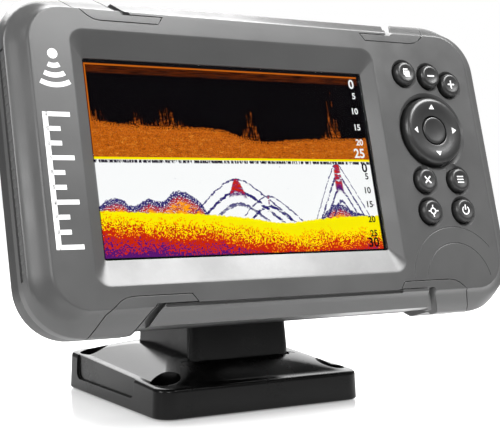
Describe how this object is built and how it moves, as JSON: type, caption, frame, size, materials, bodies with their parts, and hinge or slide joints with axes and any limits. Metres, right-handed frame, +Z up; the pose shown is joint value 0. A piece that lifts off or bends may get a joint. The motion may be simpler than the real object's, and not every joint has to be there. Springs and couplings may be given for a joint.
{
  "type": "fish finder",
  "caption": "Boat fish finder: wide display head with a colour screen, round keys and a four-way rocker, on a tilting quick-release bracket with a square screw-down foot.",
  "frame": {"origin": "middle of the bracket's underside, on the surface that it is screwed to", "axes": "+Z up, the screen faces -Y, +X to the viewer's right"},
  "size_m": [0.1906, 0.1091, 0.141],
  "materials": {
    "case_grey": "fine texture, semi-matt mid grey",
    "clip_grey": "fine texture, semi-matt mid grey",
    "strip_grey": "satin light grey",
    "rear_black": "textured black",
    "key_grey": "satin dark grey",
    "bracket_black": "satin black",
    "seal_rubber": "matt black",
    "seal_red": "matt oxide red",
    "membrane": "matt dark grey",
    "steel": "stainless",
    "window": "clear hard-coated",
    "lcd": "dark liquid-crystal panel",
    "diffuser": "white light guide",
    "tin_plate": "tin plate",
    "board_green": "solder mask",
    "chip_black": "moulded epoxy",
    "aluminium": "plain",
    "ribbon": "polyimide film",
    "ceramic": "ceramic patch",
    "gold": "gold plated",
    "washer": "acetal"
  },
  "bodies": {
    "bracket": {"base_plate": "bracket_black", "base_pad": "seal_rubber", "post_body": "bracket_black", "post_front_cover": "bracket_black", "post_screws": "steel", "tilt_bolt": "steel", "tilt_nut": "steel", "friction_washers": "washer", "bolt_caps": "bracket_black"},
    "cradle": {"cradle": "bracket_black", "lever_pin": "steel", "lever_spring": "steel"},
    "release_lever": {"release_lever": "key_grey"},
    "head": {"front_bezel": "case_grey", "clip_top_left": "clip_grey", "clip_top_right": "clip_grey", "clip_bottom_left": "clip_grey", "clip_bottom_right": "clip_grey", "side_strips": "strip_grey", "rear_housing": "rear_black", "case_seal": "seal_rubber", "case_screws": "steel", "display_window": "window", "window_gasket": "seal_rubber", "lcd_panel": "lcd", "backlight_unit": "diffuser", "lcd_frame": "tin_plate", "main_board": "board_green", "board_screws": "steel", "board_components": "chip_black", "shield_can": "tin_plate", "heat_spreader": "aluminium", "ribbon_cables": "ribbon", "keypad_board": "board_green", "dome_switches": "steel", "key_membrane": "membrane", "gps_antenna": "ceramic", "buzzer": "chip_black", "plug_socket": "rear_black", "socket_pins": "gold", "socket_seal": "seal_red", "card_reader": "tin_plate", "card_door_pin": "steel", "vent_plug": "rear_black"},
    "key_pages": {"key_pages": "key_grey"},
    "key_zoom_out": {"key_zoom_out": "key_grey"},
    "key_zoom_in": {"key_zoom_in": "key_grey"},
    "key_exit": {"key_exit": "key_grey"},
    "key_menu": {"key_menu": "key_grey"},
    "key_waypoint": {"key_waypoint": "key_grey"},
    "key_power": {"key_power": "key_grey"},
    "key_enter": {"key_enter": "key_grey"},
    "rocker_pivot": {"rocker_pivot": "chip_black"},
    "rocker_ring": {"rocker_ring": "key_grey"},
    "card_door": {"card_door": "seal_rubber"}
  },
  "joints": [
    {"name": "head_tilt", "type": "hinge", "parent": "bracket", "child": "cradle", "pos_m": [0, 0.002, 0.062], "axis": [1, 0, 0], "range_deg": [-40, 12]},
    {"name": "head_lift", "type": "slide", "parent": "cradle", "child": "head", "axis": [0, 0.2672, 0.9636], "range_m": [0, 0.008]},
    {"name": "lever_press", "type": "hinge", "parent": "cradle", "child": "release_lever", "pos_m": [0, -0.01085, 0.09156], "axis": [1, 0, 0], "range_deg": [0, 22], "stiffness_Nm_per_rad": 0.02, "springref_deg": -11.46},
    {"name": "key_pages_press", "type": "slide", "parent": "head", "child": "key_pages", "axis": [0, 0.9636, -0.2672], "range_m": [0, 0.0009], "stiffness_N_per_m": 900, "springref_m": -0.0009},
    {"name": "key_zoom_out_press", "type": "slide", "parent": "head", "child": "key_zoom_out", "axis": [0, 0.9636, -0.2672], "range_m": [0, 0.0009], "stiffness_N_per_m": 900, "springref_m": -0.0009},
    {"name": "key_zoom_in_press", "type": "slide", "parent": "head", "child": "key_zoom_in", "axis": [0, 0.9636, -0.2672], "range_m": [0, 0.0009], "stiffness_N_per_m": 900, "springref_m": -0.0009},
    {"name": "key_exit_press", "type": "slide", "parent": "head", "child": "key_exit", "axis": [0, 0.9636, -0.2672], "range_m": [0, 0.0009], "stiffness_N_per_m": 900, "springref_m": -0.0009},
    {"name": "key_menu_press", "type": "slide", "parent": "head", "child": "key_menu", "axis": [0, 0.9636, -0.2672], "range_m": [0, 0.0009], "stiffness_N_per_m": 900, "springref_m": -0.0009},
    {"name": "key_waypoint_press", "type": "slide", "parent": "head", "child": "key_waypoint", "axis": [0, 0.9636, -0.2672], "range_m": [0, 0.0009], "stiffness_N_per_m": 900, "springref_m": -0.0009},
    {"name": "key_power_press", "type": "slide", "parent": "head", "child": "key_power", "axis": [0, 0.9636, -0.2672], "range_m": [0, 0.0009], "stiffness_N_per_m": 900, "springref_m": -0.0009},
    {"name": "key_enter_press", "type": "slide", "parent": "head", "child": "key_enter", "axis": [0, 0.9636, -0.2672], "range_m": [0, 0.0009], "stiffness_N_per_m": 900, "springref_m": -0.0009},
    {"name": "rocker_sideways", "type": "hinge", "parent": "head", "child": "rocker_pivot", "pos_m": [0.0666, -0.04645, 0.09791], "axis": [0, 0.2672, 0.9636], "range_deg": [-2.5, 2.5], "stiffness_Nm_per_rad": 0.9},
    {"name": "rocker_up_down", "type": "hinge", "parent": "rocker_pivot", "child": "rocker_ring", "pos_m": [0.0666, -0.04645, 0.09791], "axis": [1, 0, 0], "range_deg": [-2.5, 2.5], "stiffness_Nm_per_rad": 0.9},
    {"name": "card_door_swing", "type": "hinge", "parent": "head", "child": "card_door", "pos_m": [-0.046, -0.01539, 0.09801], "axis": [1, 0, 0], "range_deg": [0, 100]}
  ],
  "couplings": [
    {"joint": "lever_press", "follows": "head_lift", "rad_per_m": 43.75}
  ]
}
